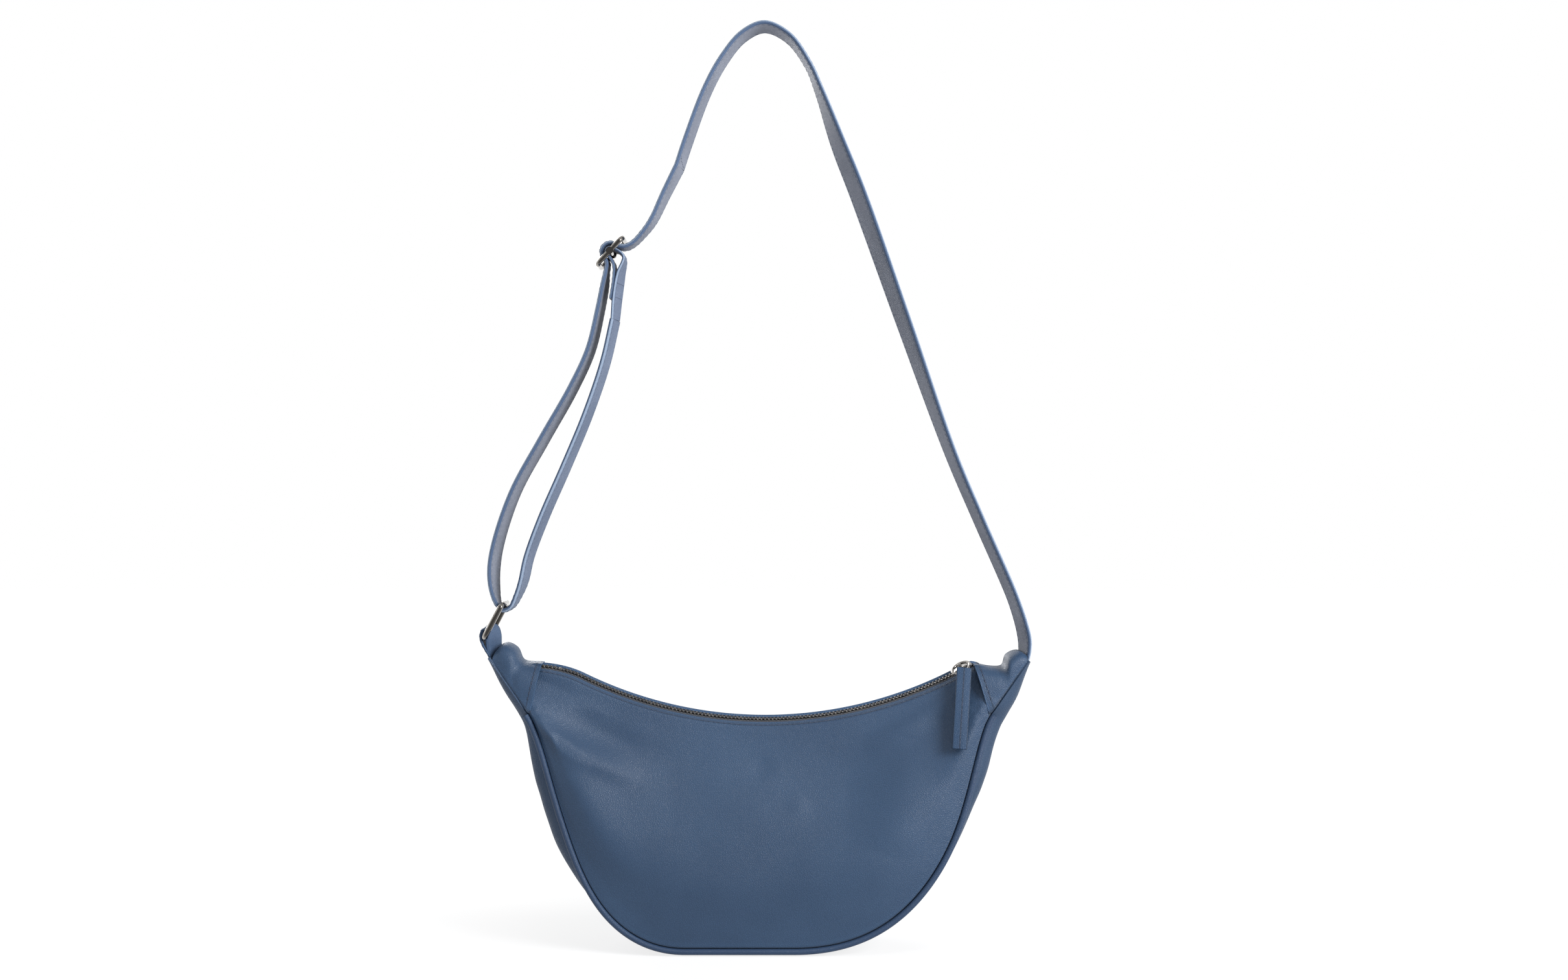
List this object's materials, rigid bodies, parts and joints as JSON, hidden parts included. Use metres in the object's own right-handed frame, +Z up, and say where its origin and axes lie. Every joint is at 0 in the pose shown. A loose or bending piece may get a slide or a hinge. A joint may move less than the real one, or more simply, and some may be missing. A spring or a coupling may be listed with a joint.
{
  "type": "sling bag",
  "caption": "Half-moon leather sling bag with a zip along its curved mouth, a leather zip pull, and a long adjustable shoulder strap on a ring and slide buckle.",
  "frame": {"origin": "the point where the strap hangs, on the underside of its highest point", "axes": "+Z up, +X towards the end with the closed zip slider, -Y the front panel's side"},
  "size_m": [0.3568, 0.0744, 0.5968],
  "materials": {
    "body_leather": "fine grain blue leather, soft sheen",
    "piping_leather": "the same leather over a cord",
    "strap_leather": "folded blue leather, stitched edges",
    "lining_cloth": "plain woven cloth",
    "zip_tape": "woven tape",
    "zip_metal": "darkened brass",
    "gunmetal": "polished gunmetal plating"
  },
  "bodies": {
    "strap": {"strap_long": "strap_leather", "strap_short": "strap_leather"},
    "bag": {"front_panel": "body_leather", "back_panel": "body_leather", "gusset": "body_leather", "left_end_cap": "body_leather", "right_end_cap": "body_leather", "front_piping": "piping_leather", "back_piping": "piping_leather", "lining_front": "lining_cloth", "lining_back": "lining_cloth", "lining_gusset": "lining_cloth", "zip_tape_front": "zip_tape", "zip_tape_back": "zip_tape", "zip_teeth_front": "zip_metal", "zip_teeth_back": "zip_metal", "zip_bottom_stop": "zip_metal", "zip_top_stop_front": "zip_metal", "zip_top_stop_back": "zip_metal", "ring_tab": "body_leather", "strap_root": "strap_leather"},
    "buckle": {"slide_buckle": "gunmetal", "strap_end": "strap_leather"},
    "ring": {"square_ring": "gunmetal"},
    "zip_slider": {"slider_body": "gunmetal"},
    "pull_ring": {"pull_ring": "gunmetal"},
    "pull_tab": {"pull_tab": "body_leather"}
  },
  "joints": [
    {"name": "bag_swing", "type": "hinge", "parent": "strap", "child": "bag", "pos_m": [0, 0, -0.3717], "axis": [1, 0, 0], "range_deg": [-40, 40], "deforming": ["strap_root", "strap_short"]},
    {"name": "buckle_slide", "type": "slide", "parent": "strap", "child": "buckle", "axis": [0.6801, 0, 0.7331], "range_m": [-0.025, 0.025], "deforming": ["strap_short"]},
    {"name": "ring_swing", "type": "hinge", "parent": "bag", "child": "ring", "pos_m": [-0.1799, 0, -0.3936], "axis": [0, 1, 0], "range_deg": [-12, 12], "deforming": ["strap_short"]},
    {"name": "zip_travel", "type": "hinge", "parent": "bag", "child": "zip_slider", "pos_m": [0.0003, 0, -0.1777], "axis": [0, 1, 0], "range_deg": [0, 55], "deforming": ["zip_teeth_front", "zip_teeth_back"]},
    {"name": "pull_lift", "type": "hinge", "parent": "zip_slider", "child": "pull_ring", "pos_m": [0.1259, -0.00089, -0.41195], "axis": [-0.8813, 0, -0.4726], "range_deg": [0, 75]},
    {"name": "tab_sway", "type": "hinge", "parent": "pull_ring", "child": "pull_tab", "pos_m": [0.12787, -0.01236, -0.41562], "axis": [0, 1, 0], "range_deg": [-55, 1]}
  ],
  "couplings": [
    {"joint": "tab_sway", "follows": "zip_travel", "ratio": -1}
  ]
}
